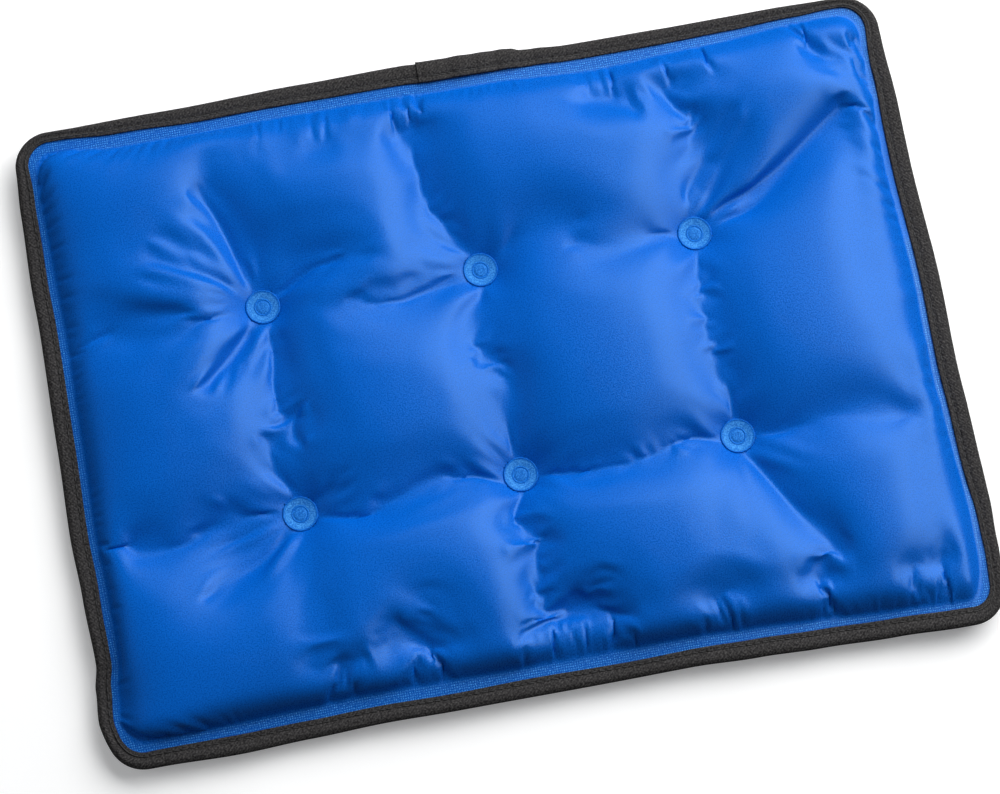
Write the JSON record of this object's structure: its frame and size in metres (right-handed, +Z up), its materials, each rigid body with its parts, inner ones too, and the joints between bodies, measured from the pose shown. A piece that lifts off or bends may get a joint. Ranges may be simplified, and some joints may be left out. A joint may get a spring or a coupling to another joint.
{
  "type": "laptop cooling pad",
  "caption": "Flat gel-filled cushion of coated fabric, tack-welded in a grid and bound with woven tape, laid under a laptop to draw off its heat.",
  "frame": {"origin": "middle of the flat resting face, under the centre of the pad's outline", "axes": "+X along the pad's long side, +Y to the pad's back edge, +Z up from the resting face towards the laptop"},
  "size_m": [0.37, 0.2698, 0.021],
  "materials": {
    "coated_nylon": "satin blue nylon with a polyurethane coating",
    "weld": "blue coating fused and pressed with a fine pattern",
    "gel": "clear bluish soft gel",
    "binding_tape": "matt charcoal-black twill tape",
    "thread": "matt black spun thread"
  },
  "bodies": {
    "root": {"top_cover": "coated_nylon", "bottom_cover": "coated_nylon", "cooling_gel": "gel", "rim_seal": "weld", "fill_port_seal": "weld", "tack_weld_front_left": "weld", "tack_weld_front_middle": "weld", "tack_weld_front_right": "weld", "tack_weld_back_left": "weld", "tack_weld_back_middle": "weld", "tack_weld_back_right": "weld", "edge_binding": "binding_tape", "needle_thread": "thread", "bobbin_thread": "thread"}
  },
  "joints": []
}
